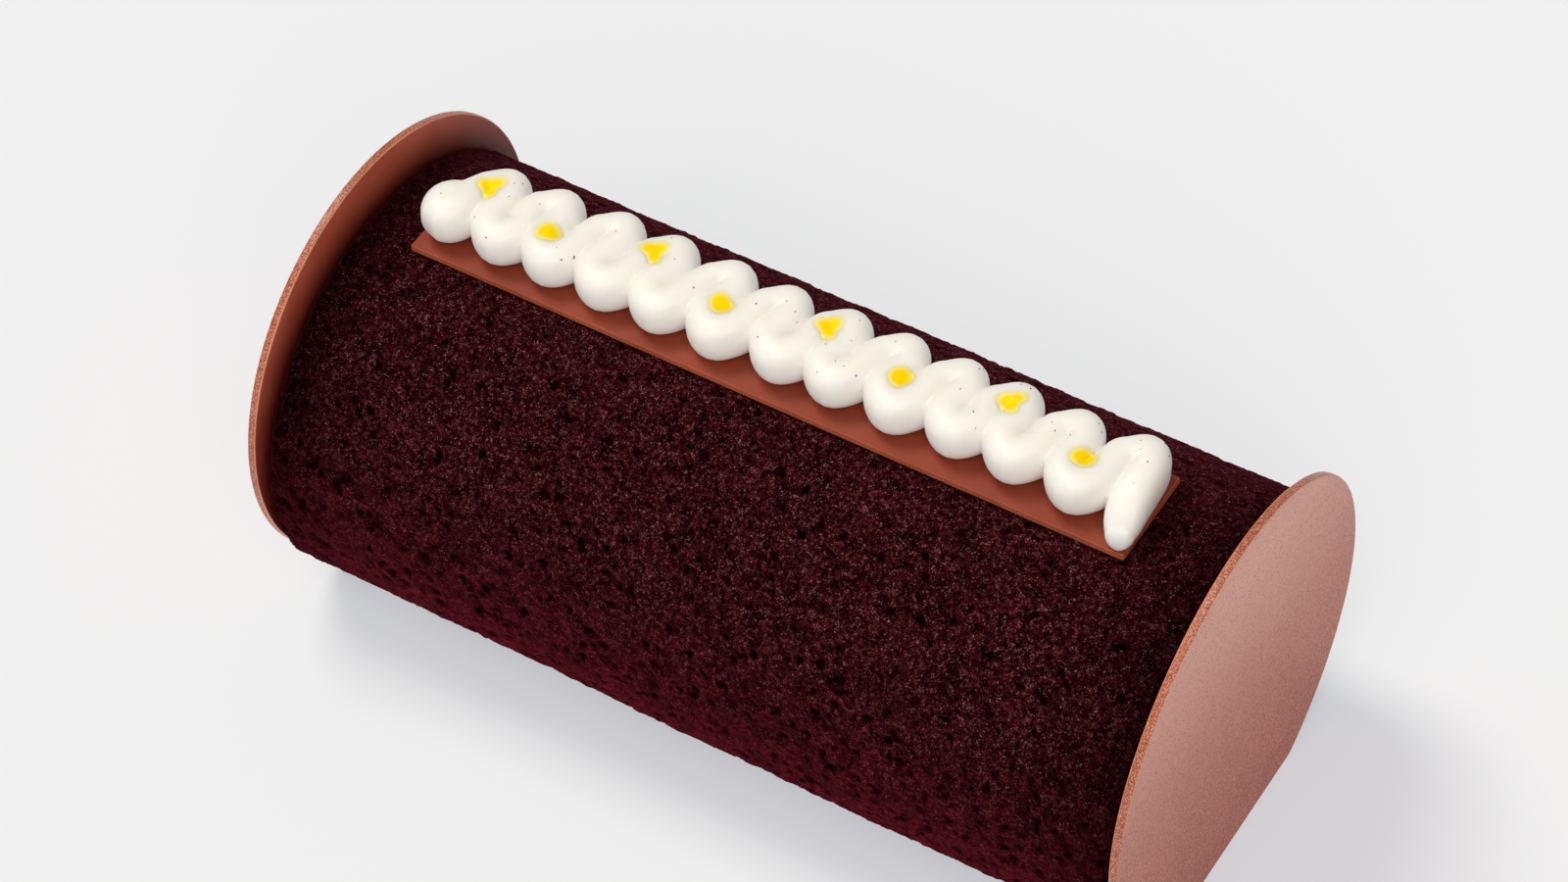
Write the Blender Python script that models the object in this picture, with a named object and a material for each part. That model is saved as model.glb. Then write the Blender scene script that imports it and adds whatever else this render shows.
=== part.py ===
"""Yule log: a sponge-wrapped log between two chocolate discs, with cream piped on a plaque.

The log lies along X, with the disc that faces the viewer at +X, and the viewer's side is -Y.
The origin is on the table, under the middle of the whole cake. Lengths are in metres.
"""

import math

import bpy
import bmesh
from mathutils import Vector
from mathutils.bvhtree import BVHTree

MILLIMETRE = 0.001

# Log body: an oval section, flat where it rests and slightly flat where the plaque sits
LOG_LENGTH = 0.1820
LOG_HALF_WIDTH = 0.0438
LOG_HALF_HEIGHT = 0.0412
LOG_CENTRE_HEIGHT = 0.0324
LOG_SETBACK = 0.0009
LOG_FOOT_SOFTNESS = 0.0030
LOG_SEAT_DEPTH = 0.0003
LOG_SEAT_SOFTNESS = 0.0002
LOG_END_ROUNDING = 0.0007
LOG_UNEVENNESS = 0.00025
# Waves of the uneven sides: turns along X, turns round the section, start and share
LOG_WAVES = ((61.0, 2.0, 0.0, 1.0), (137.0, -3.0, 1.0, 0.6))
LOG_CALM_SHARE = 0.2
LOG_SIDES = 84
LOG_RINGS = 15

# End discs: thin round chocolate discs, cut by a flat chord that stands on the table
DISC_RADIUS = 0.0448
DISC_CENTRE_HEIGHT = 0.0391
DISC_THICKNESS = 0.0017
DISC_EDGE_BEVEL = 0.0003
DISC_ARC_STEPS = 120

# Plaque: a long thin chocolate strip that lies level on the crown
PLAQUE_LENGTH = 0.1506
PLAQUE_WIDTH = 0.0205
PLAQUE_THICKNESS = 0.0015
PLAQUE_CENTRE_X = -0.0034
PLAQUE_CENTRE_Y = 0.0049
PLAQUE_EDGE_BEVEL = 0.0002

# Piped cream: one strand from a round start, in tight bends, to a thin tail
STRAND_HALF_HEIGHT = 0.0047
STRAND_CENTRE_HEIGHT = 0.0043
SHOULDER_SQUARENESS = 2.5
FOOT_SQUARENESS = 2.2
BEND_PITCH = 0.0121
FIRST_BACK_BEND_X = -0.0680
BACK_BEND_Y = 0.0088
FRONT_BEND_LEAD = 0.0063
FRONT_BEND_Y = 0.0031
# Points of each bend round its centre: along X, along Y, half width
BACK_BEND_SHAPE = (
    (-0.0027, 0.0, 0.0037),
    (-0.0017, 0.0015, 0.0034),
    (0.0010, 0.0030, 0.0041),
    (0.0023, 0.0018, 0.0038),
    (0.0029, 0.0, 0.0037),
)
FRONT_BEND_SHAPE = ((-0.0034, -0.0002, 0.0041), (-0.0006, -0.0031, 0.0039), (0.0027, 0.0, 0.0036))
# How far the hand strayed at each bend, in millimetres along X and along Y
BACK_BEND_DRIFT = (
    (0.0, -0.8), (-0.5, -0.3), (0.3, 0.3), (0.0, 0.2), (0.4, 0.1), (0.4, -0.2),
    (0.7, 0.1), (0.5, 0.1), (0.5, 0.0), (-0.3, -0.1), (0.0, -0.3), (0.7, 0.2),
)
FRONT_BEND_DRIFT = (
    (0.1, 0.0), (-0.8, 0.0), (-1.0, -0.2), (-1.4, 0.0), (-1.0, -0.2), (-0.1, 0.5),
    (-0.8, 0.5), (-0.3, 0.4), (-0.2, 0.9), (-0.5, 0.8), (0.2, 0.1),
)
START_CURL = ((-0.0732, 0.0033), (-0.0744, 0.0021), (-0.0739, 0.0006), (-0.0724, 0.0025))
START_HALF_WIDTH = 0.0048
START_HALF_HEIGHT = 0.0050
# The tail's points: x, y, half width, half height
TAIL_STATIONS = (
    (0.0688, 0.0050, 0.0039, 0.0045),
    (0.0690, 0.0016, 0.0038, 0.0041),
    (0.0694, -0.0010, 0.0035, 0.0033),
    (0.0699, -0.0030, 0.0028, 0.0023),
    (0.0705, -0.0047, 0.0017, 0.0012),
)
DOME_ANGLES = (15, 30, 45, 60, 75, 85)
STEPS_BETWEEN_POINTS = 5
STRAND_SIDES = 18
CREAM_VOXEL = 0.0006
CREAM_SMOOTHING = 5
CREAM_KEPT_SHARE = 0.13

# Gel drops: small soft-edged pools on the cream, each a little proud of it
GEL_BENDS = 3
GEL_RADIUS = 0.0026
BACK_GEL_SHIFT = (-0.0004, -0.0002)
FRONT_GEL_SHIFT = (-0.0014, 0.0008)
GEL_DRIFT = (
    (0.1, -0.1), (-0.8, -0.7), (-0.9, -0.1), (0.1, 0.1), (-0.5, -0.3), (0.2, 0.2), (1.4, 0.5), (0.6, 0.2),
)
GEL_HALF_HEIGHT = 0.0009
GEL_PROUD = 0.0003

# Pieces that touch keep this much clear of each other
GAP = 0.0003

# Angles in degrees past which an edge is shaded sharp, and past which it is bevelled
SHARP_ANGLE = 35
BEVEL_ANGLE = 40

LOG_COLOUR = (0.040, 0.006, 0.012)
CHOCOLATE_COLOUR = (0.42, 0.20, 0.14)
CREAM_COLOUR = (0.90, 0.87, 0.80)


def clear_scene():
    """Start from an empty scene."""
    for old in list(bpy.data.objects):
        bpy.data.objects.remove(old, do_unlink=True)


def material(name, colour, roughness, metallic=0.0):
    """A plain surface of one colour."""
    made = bpy.data.materials.new(name)
    made.use_nodes = True
    shader = made.node_tree.nodes["Principled BSDF"]
    shader.inputs["Base Color"].default_value = (*colour, 1.0)
    shader.inputs["Roughness"].default_value = roughness
    shader.inputs["Metallic"].default_value = metallic
    return made


def add_object(name, bm, surface):
    """Put a finished mesh into the scene as a smooth-shaded object."""
    mesh = bpy.data.meshes.new(name)
    bmesh.ops.recalc_face_normals(bm, faces=bm.faces)
    bm.to_mesh(mesh)
    bm.free()
    mesh.shade_smooth()
    mesh.set_sharp_from_angle(angle=math.radians(SHARP_ANGLE))
    mesh.materials.append(surface)
    made = bpy.data.objects.new(name, mesh)
    bpy.context.scene.collection.objects.link(made)
    return made


def add_bevel(made, width):
    """Round the edges of a piece a little."""
    bevel = made.modifiers.new("edge", "BEVEL")
    bevel.width = width
    bevel.segments = 2
    bevel.limit_method = "ANGLE"
    bevel.angle_limit = math.radians(BEVEL_ANGLE)


def bridge_rings(bm, rings):
    """Join a row of equal rings into one skin, with a face over each end."""
    loops = [[bm.verts.new(point) for point in ring] for ring in rings]
    count = len(loops[0])
    for near, far in zip(loops, loops[1:]):
        for i in range(count):
            j = (i + 1) % count
            bm.faces.new((near[i], near[j], far[j], far[i]))
    bm.faces.new(list(reversed(loops[0])))
    bm.faces.new(loops[-1])


def soft_floor(value, floor, softness):
    """The larger of the two, with a rounded change between them."""
    over = value - floor
    if abs(over) < softness:
        return floor + (over + softness) ** 2 / (4 * softness)
    return max(value, floor)


def log_crown():
    """Height of the level seat along the top of the log."""
    return LOG_CENTRE_HEIGHT + LOG_HALF_HEIGHT - LOG_SEAT_DEPTH


def log_point(x, angle, inset=0.0):
    """A point on the log's skin: the angle runs round the section from +Y over the top."""
    y = (LOG_HALF_WIDTH - inset) * math.cos(angle)
    z = LOG_CENTRE_HEIGHT + (LOG_HALF_HEIGHT - inset) * math.sin(angle)
    side = max(0.0, math.cos(angle) ** 2 - LOG_CALM_SHARE)
    wave = 0.0
    for along, around, start, share in LOG_WAVES:
        wave += share * math.sin(x * along + angle * around + start)
    y += LOG_UNEVENNESS * side * wave * math.copysign(1.0, math.cos(angle))
    z = soft_floor(z, 0.0, LOG_FOOT_SOFTNESS)
    z = -soft_floor(-z, -log_crown(), LOG_SEAT_SOFTNESS)
    return Vector((x, y + LOG_SETBACK, z))


def make_log():
    """The sponge-wrapped body, solid, just clear of the discs at both ends."""
    half = LOG_LENGTH / 2 - GAP
    inner = half - LOG_END_ROUNDING
    stations = [(-half, LOG_END_ROUNDING)]
    stations += [(-inner + 2 * inner * i / (LOG_RINGS - 1), 0.0) for i in range(LOG_RINGS)]
    stations += [(half, LOG_END_ROUNDING)]
    angles = [2 * math.pi * i / LOG_SIDES for i in range(LOG_SIDES)]
    bm = bmesh.new()
    bridge_rings(bm, [[log_point(x, a, inset) for a in angles] for x, inset in stations])
    return add_object("sponge_log", bm, material("sponge", LOG_COLOUR, 0.9))


def make_disc(name, inner_face, outwards, surface):
    """A chocolate disc that stands on its chord; outwards is +1 or -1 along X."""
    chord_angle = math.asin(DISC_CENTRE_HEIGHT / DISC_RADIUS)
    sweep = math.pi + 2 * chord_angle
    arc = [-chord_angle + sweep * i / DISC_ARC_STEPS for i in range(DISC_ARC_STEPS + 1)]
    outline = [(DISC_RADIUS * math.cos(a), DISC_CENTRE_HEIGHT + DISC_RADIUS * math.sin(a)) for a in arc]
    rings = []
    for x in (inner_face, inner_face + outwards * DISC_THICKNESS):
        rings.append([Vector((x, y, max(z, 0.0))) for y, z in outline])
    bm = bmesh.new()
    bridge_rings(bm, rings)
    made = add_object(name, bm, surface)
    add_bevel(made, DISC_EDGE_BEVEL)
    return made


def plaque_top():
    """Height of the plaque's upper face."""
    return log_crown() + GAP + PLAQUE_THICKNESS


def make_plaque(surface):
    """The flat chocolate strip under the cream."""
    bm = bmesh.new()
    bmesh.ops.create_cube(bm, size=1.0)
    bmesh.ops.scale(bm, vec=(PLAQUE_LENGTH, PLAQUE_WIDTH, PLAQUE_THICKNESS), verts=bm.verts)
    centre = (PLAQUE_CENTRE_X, PLAQUE_CENTRE_Y, plaque_top() - PLAQUE_THICKNESS / 2)
    bmesh.ops.translate(bm, vec=centre, verts=bm.verts)
    made = add_object("chocolate_plaque", bm, surface)
    add_bevel(made, PLAQUE_EDGE_BEVEL)
    return made


def bend_centres():
    """Centres of the back bends and of the front bends, in the order the strand meets them."""
    back = []
    front = []
    for i, (dx, dy) in enumerate(BACK_BEND_DRIFT):
        x = FIRST_BACK_BEND_X + BEND_PITCH * i + dx * MILLIMETRE
        back.append((x, BACK_BEND_Y + dy * MILLIMETRE))
    for i, (dx, dy) in enumerate(FRONT_BEND_DRIFT):
        x = FIRST_BACK_BEND_X + FRONT_BEND_LEAD + BEND_PITCH * i + dx * MILLIMETRE
        front.append((x, FRONT_BEND_Y + dy * MILLIMETRE))
    return back, front


def bend_stations(centre, shape):
    """A bend's points round its centre, each with its half width and the strand's half height."""
    x, y = centre
    return [(x + dx, y + dy, half_width, STRAND_HALF_HEIGHT) for dx, dy, half_width in shape]


def strand_stations():
    """Points that the strand passes, each with its half width and half height."""
    back, front = bend_centres()
    stations = [(x, y, START_HALF_WIDTH, START_HALF_HEIGHT) for x, y in START_CURL]
    for i, centre in enumerate(back):
        stations += bend_stations(centre, BACK_BEND_SHAPE)
        if i < len(front):
            stations += bend_stations(front[i], FRONT_BEND_SHAPE)
    return stations + list(TAIL_STATIONS)


def smooth_between(a, b, c, d, t):
    """Catmull-Rom value between b and c."""
    slope_b = (c - a) / 2
    slope_c = (d - b) / 2
    t2 = t * t
    t3 = t2 * t
    ends = (2 * t3 - 3 * t2 + 1) * b + (3 * t2 - 2 * t3) * c
    return ends + (t3 - 2 * t2 + t) * slope_b + (t3 - t2) * slope_c


def strand_curve():
    """The strand's stations joined by one smooth curve, as rows of x, y, half width, half height."""
    stations = strand_stations()
    padded = [stations[0]] + stations + [stations[-1]]
    curve = []
    for a, b, c, d in zip(padded, padded[1:], padded[2:], padded[3:]):
        for step in range(STEPS_BETWEEN_POINTS):
            t = step / STEPS_BETWEEN_POINTS
            curve.append([smooth_between(*values, t) for values in zip(a, b, c, d)])
    curve.append(list(stations[-1]))
    return curve


def squared(value, squareness):
    """A sine or cosine pushed outwards, for a section with fuller shoulders than a circle's."""
    return math.copysign(abs(value) ** (2.0 / squareness), value)


def strand_ring(x, y, direction, half_width, half_height):
    """One section of the strand: soft shoulders above, and pressed on the plaque below."""
    base = plaque_top() + GAP
    centre = base + STRAND_CENTRE_HEIGHT * half_height / STRAND_HALF_HEIGHT
    across = Vector((-direction.y, direction.x, 0.0))
    ring = []
    for i in range(STRAND_SIDES):
        angle = 2 * math.pi * i / STRAND_SIDES
        fullness = SHOULDER_SQUARENESS if math.sin(angle) > 0 else FOOT_SQUARENESS
        place = Vector((x, y, 0.0)) + across * (half_width * squared(math.cos(angle), fullness))
        place.z = max(base, centre + half_height * squared(math.sin(angle), fullness))
        ring.append(place)
    return ring


def strand_rings():
    """All sections of the strand, with domed ends."""
    curve = strand_curve()
    places = [Vector((row[0], row[1], 0.0)) for row in curve]
    sections = []
    for i, row in enumerate(curve):
        ahead = places[min(i + 1, len(places) - 1)]
        behind = places[max(i - 1, 0)]
        sections.append((places[i], (ahead - behind).normalized(), row[2], row[3]))
    for end, sign in ((0, -1), (len(sections) - 1, 1)):
        place, direction, half_width, half_height = sections[end]
        dome = []
        for angle in (math.radians(a) for a in DOME_ANGLES):
            reach = place + direction * (sign * half_height * math.sin(angle))
            dome.append((reach, direction, half_width * math.cos(angle), half_height * math.cos(angle)))
        sections = list(reversed(dome)) + sections if sign < 0 else sections + dome
    return [strand_ring(p.x, p.y, d, w, h) for p, d, w, h in sections]


def gel_spots():
    """Centres of the gel drops: every third bend has one, by turns at the back and in front."""
    back, front = bend_centres()
    in_order = []
    for i, (x, y) in enumerate(back):
        in_order.append((x + BACK_GEL_SHIFT[0], y + BACK_GEL_SHIFT[1]))
        if i < len(front):
            x, y = front[i]
            in_order.append((x + FRONT_GEL_SHIFT[0], y + FRONT_GEL_SHIFT[1]))
    spots = []
    for (x, y), (dx, dy) in zip(in_order[::GEL_BENDS], GEL_DRIFT):
        spots.append((x + dx * MILLIMETRE, y + dy * MILLIMETRE))
    return spots


def add_gel_drops(bm):
    """Low round drops that lie on the cream."""
    tree = BVHTree.FromBMesh(bm)
    squash = (1.0, 1.0, GEL_HALF_HEIGHT / GEL_RADIUS)
    for x, y in gel_spots():
        surface, _, _, _ = tree.ray_cast(Vector((x, y, 2 * plaque_top())), Vector((0, 0, -1)))
        made = bmesh.ops.create_icosphere(bm, subdivisions=2, radius=GEL_RADIUS)
        bmesh.ops.scale(bm, vec=squash, verts=made["verts"])
        height = surface.z + GEL_PROUD - GEL_HALF_HEIGHT
        bmesh.ops.translate(bm, vec=(x, y, height), verts=made["verts"])


def make_cream():
    """Strand and drops as one body: a fine remesh joins them, then the mesh is thinned."""
    bm = bmesh.new()
    bridge_rings(bm, strand_rings())
    add_gel_drops(bm)
    made = add_object("piped_cream", bm, material("cream", CREAM_COLOUR, 0.45))
    join = made.modifiers.new("join", "REMESH")
    join.mode = "VOXEL"
    join.voxel_size = CREAM_VOXEL
    soften = made.modifiers.new("soften", "SMOOTH")
    soften.factor = 0.5
    soften.iterations = CREAM_SMOOTHING
    thin = made.modifiers.new("thin", "DECIMATE")
    thin.ratio = CREAM_KEPT_SHARE
    return made


def main():
    clear_scene()
    chocolate = material("chocolate", CHOCOLATE_COLOUR, 0.4, 0.1)
    make_log()
    make_disc("end_disc_left", -LOG_LENGTH / 2, -1, chocolate)
    make_disc("end_disc_right", LOG_LENGTH / 2, 1, chocolate)
    make_plaque(chocolate)
    make_cream()


main()
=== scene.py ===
"""Looks of the yule log: sponge crumb, dusted chocolate discs, a satin plaque, piped cream, gel and seeds.

The log lies along X, with the disc that faces the viewer at +X, and the viewer's side is -Y.
Lengths are in metres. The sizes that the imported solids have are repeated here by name.
"""

import math
import random

import bmesh
import bpy
import numpy as np
from mathutils import Matrix, Vector, noise
from mathutils.bvhtree import BVHTree


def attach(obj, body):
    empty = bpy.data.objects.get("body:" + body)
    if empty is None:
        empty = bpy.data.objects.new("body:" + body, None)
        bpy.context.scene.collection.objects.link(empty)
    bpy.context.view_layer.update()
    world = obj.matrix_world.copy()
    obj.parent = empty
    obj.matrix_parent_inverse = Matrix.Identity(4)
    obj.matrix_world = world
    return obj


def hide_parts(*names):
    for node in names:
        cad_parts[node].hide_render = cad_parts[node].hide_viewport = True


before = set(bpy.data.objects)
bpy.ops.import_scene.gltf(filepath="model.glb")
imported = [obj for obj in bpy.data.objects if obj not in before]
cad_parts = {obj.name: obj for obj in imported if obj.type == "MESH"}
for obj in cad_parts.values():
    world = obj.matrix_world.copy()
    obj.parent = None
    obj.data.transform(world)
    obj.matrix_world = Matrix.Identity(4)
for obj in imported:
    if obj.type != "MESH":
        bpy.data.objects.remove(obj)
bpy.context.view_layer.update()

MILLIMETRE = 0.001

# Camera, as the photograph was taken, for a frame of 1600 by 900
CAMERA_AZIMUTH = 35.331
CAMERA_ELEVATION = 49.323
CAMERA_ROLL = -4.522
CAMERA_DISTANCE = 0.82154
CAMERA_AIM = Vector((-0.005551, 0.005747, 0.049931))
CAMERA_LENS_MM = 102.2
SENSOR_MM = 36.0
NEAREST_SEEN = 0.01
FARTHEST_SEEN = 100.0

# Log body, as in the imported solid
LOG_LENGTH = 0.1820
LOG_HALF_WIDTH = 0.0438
LOG_HALF_HEIGHT = 0.0412
LOG_CENTRE_HEIGHT = 0.0324
LOG_SETBACK = 0.0009
LOG_FOOT_SOFTNESS = 0.0030
LOG_SEAT_DEPTH = 0.0003
LOG_SEAT_SOFTNESS = 0.0002
LOG_END_ROUNDING = 0.0007
LOG_UNEVENNESS = 0.00025
# Waves of the uneven sides: turns along X, turns round the section, start and share
LOG_WAVES = ((61.0, 2.0, 0.0, 1.0), (137.0, -3.0, 1.0, 0.6))
LOG_CALM_SHARE = 0.2

# Sponge skin: the steps of its mesh, finer on the sides that show than under the foot
SKIN_STEP = 0.00052
FOOT_STEP = 0.0050
FOOT_TOP = 0.0003
SECTION_SAMPLES = 4000
# Height over the table from which the relief starts, and over which it grows to its full depth
RELIEF_START = 0.0005
RELIEF_FADE = 0.0015
# Relief of the crumb: fine lumps on coarse ones, with deeper dips between the coarse ones
CRUMB_HEIGHT = 0.00024
CRUMB_SIZE = 0.0011
COARSE_CRUMB_SIZE = CRUMB_SIZE * 2.6
COARSE_CRUMB_SHARE = 0.9
CRUMB_DIP = 1.6

# Open pores: the smallest, the range above it, and how rare the large ones are
PIT_COUNT = 4300
PIT_SEED = 7
PIT_SIZE = 0.50
PIT_SIZE_RANGE = 0.62
PIT_SIZE_RARITY = 1.3
# Size and number of the pores at the crown, and how much they gain towards the foot
PIT_CROWN_SCALE = 0.75
PIT_FOOT_SCALE = 0.35
PIT_CROWN_CHANCE = 0.30
PIT_FOOT_CHANCE = 1.1
PIT_STRETCH = (0.95, 1.3)
PIT_DEPTH = (0.45, 0.95)
PIT_REACH = 1.6
# Depth of a pit at which its painted shade is full
PIT_DARK_DEPTH = 0.22 * MILLIMETRE

# Sponge colours along the crumb, from its gaps to its tips, for the upper side and the lower side
# The near-black gaps are painted shade between the lumps; the lower side's brighter red is painted light
# bounced up from the floor.
UPPER_CRUMB = (
    (0.38, (0.003, 0.0004, 0.0006)),
    (0.48, (0.019, 0.0016, 0.0026)),
    (0.56, (0.056, 0.0062, 0.0088)),
    (0.66, (0.122, 0.022, 0.028)),
)
LOWER_CRUMB = (
    (0.36, (0.010, 0.0004, 0.0010)),
    (0.46, (0.058, 0.0020, 0.0050)),
    (0.56, (0.138, 0.0062, 0.0142)),
    (0.66, (0.205, 0.0165, 0.0300)),
)
# Colours of the painted glints, of the painted shade in the pores and in the pits, and of the sponge's sheen
GLINT_COLOUR = (0.24, 0.155, 0.165)
PORE_COLOUR = (0.0025, 0.0002, 0.0003)
HOLLOW_COLOUR = (0.0012, 0.0001, 0.0001)
SPONGE_SHEEN = (0.60, 0.08, 0.14)
# Sizes of what is drawn on the sponge, and the share of cells that have a glint or a pore
LUMP_SIZE = 0.0010
GRAIN_SIZE = 0.00032
DIMPLE_SIZE = 0.0026
PATCH_SIZE = 0.009
GLINT_SIZE = 0.00015
GLINT_SHARE = 0.075
PORE_SIZE = 0.00085
PORE_SHARE = 0.30
CRUMB_BUMP = 0.0006

# End discs
DISC_RADIUS = 0.0448
DISC_CENTRE_HEIGHT = 0.0391
DISC_THICKNESS = 0.0017
DISC_EDGE = 0.00035
DISC_EDGE_STEPS = 4
DISC_ARC_STEPS = 360
DISC_CHORD_STEPS = 80
# Rings of the disc's mesh, by how far in from the rim they lie
INNER_FACE_RINGS = (0.020, 0.014, 0.011, 0.009, 0.007, 0.005, 0.0035, 0.002, 0.001)
OUTER_FACE_RINGS = (0.0012, 0.006, 0.020)
# The rim's unevenness, and the height over the table from which it has any
RIM_WAVE_SIZE = 0.0016
RIM_WAVE_HEIGHT = 0.00004
RIM_WAVE_START = 0.0008
# How far from the sponge a disc's inner face carries painted shade, darker the nearer it lies
SPONGE_SHADE_REACH = 0.0075

# Chocolate: sizes of its clouds and of the powder's grains, and its relief with and without powder
CLOUD_SIZE = 0.012
POWDER_SIZE = 0.00029
POWDER_BUMP = 0.00010
SATIN_BUMP = 0.00002

# Plaque
PLAQUE_LENGTH = 0.1506
PLAQUE_WIDTH = 0.0205
PLAQUE_THICKNESS = 0.0015
PLAQUE_CENTRE_X = -0.0034
PLAQUE_CENTRE_Y = 0.0049
PLAQUE_CUTS_ALONG = 150
PLAQUE_CUTS_ACROSS = 20
PLAQUE_BEVEL = 0.00022
PLAQUE_BEVEL_STEPS = 3
PLAQUE_SHARP_ANGLE = 20
# The long edges' unevenness, and how far in from them it reaches
CUT_WAVE_SIZE = 0.0022
CUT_WAVE_HEIGHT = 0.00005
CUT_REACH = 0.0004

# Piped cream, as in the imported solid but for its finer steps
STRAND_HALF_HEIGHT = 0.0047
STRAND_CENTRE_HEIGHT = 0.0043
SHOULDER_SQUARENESS = 2.5
FOOT_SQUARENESS = 2.2
BEND_PITCH = 0.0121
FIRST_BACK_BEND_X = -0.0680
BACK_BEND_Y = 0.0088
FRONT_BEND_LEAD = 0.0063
FRONT_BEND_Y = 0.0031
# Points of each bend round its centre: along X, along Y, half width
BACK_BEND_SHAPE = (
    (-0.0027, 0.0, 0.0037),
    (-0.0017, 0.0015, 0.0034),
    (0.0010, 0.0030, 0.0041),
    (0.0023, 0.0018, 0.0038),
    (0.0029, 0.0, 0.0037),
)
FRONT_BEND_SHAPE = ((-0.0034, -0.0002, 0.0041), (-0.0006, -0.0031, 0.0039), (0.0027, 0.0, 0.0036))
# How far the hand strayed at each bend, in millimetres along X and along Y
BACK_BEND_DRIFT = (
    (0.0, -0.8), (-0.5, -0.3), (0.3, 0.3), (0.0, 0.2), (0.4, 0.1), (0.4, -0.2),
    (0.7, 0.1), (0.5, 0.1), (0.5, 0.0), (-0.3, -0.1), (0.0, -0.3), (0.7, 0.2),
)
FRONT_BEND_DRIFT = (
    (0.1, 0.0), (-0.8, 0.0), (-1.0, -0.2), (-1.4, 0.0), (-1.0, -0.2), (-0.1, 0.5),
    (-0.8, 0.5), (-0.3, 0.4), (-0.2, 0.9), (-0.5, 0.8), (0.2, 0.1),
)
START_CURL = ((-0.0732, 0.0033), (-0.0744, 0.0021), (-0.0739, 0.0006), (-0.0724, 0.0025))
START_HALF_WIDTH = 0.0048
START_HALF_HEIGHT = 0.0050
# The tail's points: x, y, half width, half height
TAIL_STATIONS = (
    (0.0688, 0.0050, 0.0039, 0.0045),
    (0.0690, 0.0016, 0.0038, 0.0041),
    (0.0694, -0.0010, 0.0035, 0.0033),
    (0.0699, -0.0030, 0.0028, 0.0023),
    (0.0705, -0.0047, 0.0017, 0.0012),
)
DOME_ANGLES = (15, 30, 45, 60, 75, 85)
STEPS_BETWEEN_POINTS = 6
STRAND_SIDES = 44
CREAM_VOXEL = 0.00030
CREAM_SMOOTHING = 2
CREAM_CLOUD_SIZE = 0.004
CREAM_GRAIN_SIZE = 0.0007
CREAM_BUMP = 0.00004

# Lemon gel on the cream
GEL_BENDS = 3
GEL_RADIUS = 0.0026
BACK_GEL_SHIFT = (-0.0004, -0.0002)
FRONT_GEL_SHIFT = (-0.0014, 0.0008)
GEL_DRIFT = (
    (0.1, -0.1), (-0.8, -0.7), (-0.9, -0.1), (0.1, 0.1), (-0.5, -0.3), (0.2, 0.2), (1.4, 0.5), (0.6, 0.2),
)
GEL_RINGS = 14
GEL_SIDES = 56
# The gel's thickness, how far its rim sinks into the cream, and how far its lower skin lies in it
GEL_SKIN = 0.00006
GEL_RIM_SINK = 0.00004
GEL_UNDERSIDE = 0.0003
# A back spot's hook shape: its scale, its three corners and the dent in its side
HOOK_SCALE = 1.06
HOOK_CORNERS = 0.20
HOOK_TURN = 62
HOOK_DENT = 0.26
HOOK_DENT_WIDTH = 0.5
# How far round a place the gel finds its level, at how many places, and how much it keeps to that level
POOL_REACH = 0.0007
POOL_SAMPLES = 8
POOL_SHARE = 0.65
# The yellow tint of the cream round each spot, and the height over the plaque from which it shows
BLEED_REACH = 0.0007
BLEED_STRENGTH = 0.42
BLEED_LOWEST = 0.004
BLEED_SEARCH = 1.8

# Vanilla seeds: where they may lie, how large they are and how far they stand out
SEED_COUNT = 50
SEED_SEED = 11
SEED_LENGTH = 0.00042
SEED_SIZES = (0.6, 1.1)
SEED_MARGIN_X = 0.003
SEED_RANGE_Y = (-0.004, 0.015)
SEED_LOWEST = 0.002
SEED_FLATNESS = (1.0, 0.7, 0.6)
SEED_PROUD = 0.00003

# Light: the room, then the soft key on the left and the fill above the viewer, as compass direction,
# height, strength, spread and colour
ROOM_COLOUR = (0.90, 0.95, 1.0)
ROOM_STRENGTH = 0.18
KEY_SUN = (-99.0, 62.0, 1.80, 24.0, (1.0, 0.945, 0.82))
FILL_SUN = (28.0, 44.0, 1.80, 60.0, (1.0, 0.95, 0.85))
FLOOR_REACH = 12.0
FLOOR_COLOUR = (0.47, 0.47, 0.47)
FLOOR_GLOW_COLOUR = (0.969, 1.015, 1.128)
FLOOR_GLOW = 0.390

# Pieces that touch keep this much clear of each other
GAP = 0.0003
ABOVE_ALL = 0.2

# Places of a disc's surfaces in its list
FACE, RIM, INSIDE, EDGE = range(4)

# Sockets of the mix node for colours and for plain values
MIX_FACTOR = 0
COLOUR_FIRST = 6
COLOUR_SECOND = 7
COLOUR_RESULT = 2
VALUE_FIRST = 2
VALUE_SECOND = 3


def new_material(name):
    """A material with only its output and its shader, and with its node tree."""
    made = bpy.data.materials.new(name)
    made.use_nodes = True
    tree = made.node_tree
    return made, tree, tree.nodes["Principled BSDF"]


def add_node(tree, kind, **values):
    """A shader node with some of its properties and sockets set."""
    node = tree.nodes.new(kind)
    for key, value in values.items():
        if hasattr(node, key):
            setattr(node, key, value)
        else:
            node.inputs[key.replace("_", " ")].default_value = value
    return node


def set_shader(shader, **values):
    """Plain values on the shader's own sockets."""
    for key, value in values.items():
        shader.inputs[key.replace("_", " ")].default_value = value


def object_coordinates(tree):
    """The place on the object, in metres."""
    return add_node(tree, "ShaderNodeTexCoord").outputs["Object"]


def coordinate(tree, where, axis):
    """One coordinate of a place."""
    parts = add_node(tree, "ShaderNodeSeparateXYZ")
    tree.links.new(where, parts.inputs[0])
    return parts.outputs[axis]


def mesh_attribute(tree, name):
    """The grey value that a mesh holds under a name."""
    return add_node(tree, "ShaderNodeAttribute", attribute_name=name).outputs["Fac"]


def noise_texture(tree, where, size, detail=3.0, roughness=0.5):
    """Soft noise whose lumps are about as large as size."""
    made = add_node(tree, "ShaderNodeTexNoise", Scale=1.0 / size, Detail=detail, Roughness=roughness)
    tree.links.new(where, made.inputs["Vector"])
    return made.outputs["Fac"]


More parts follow.
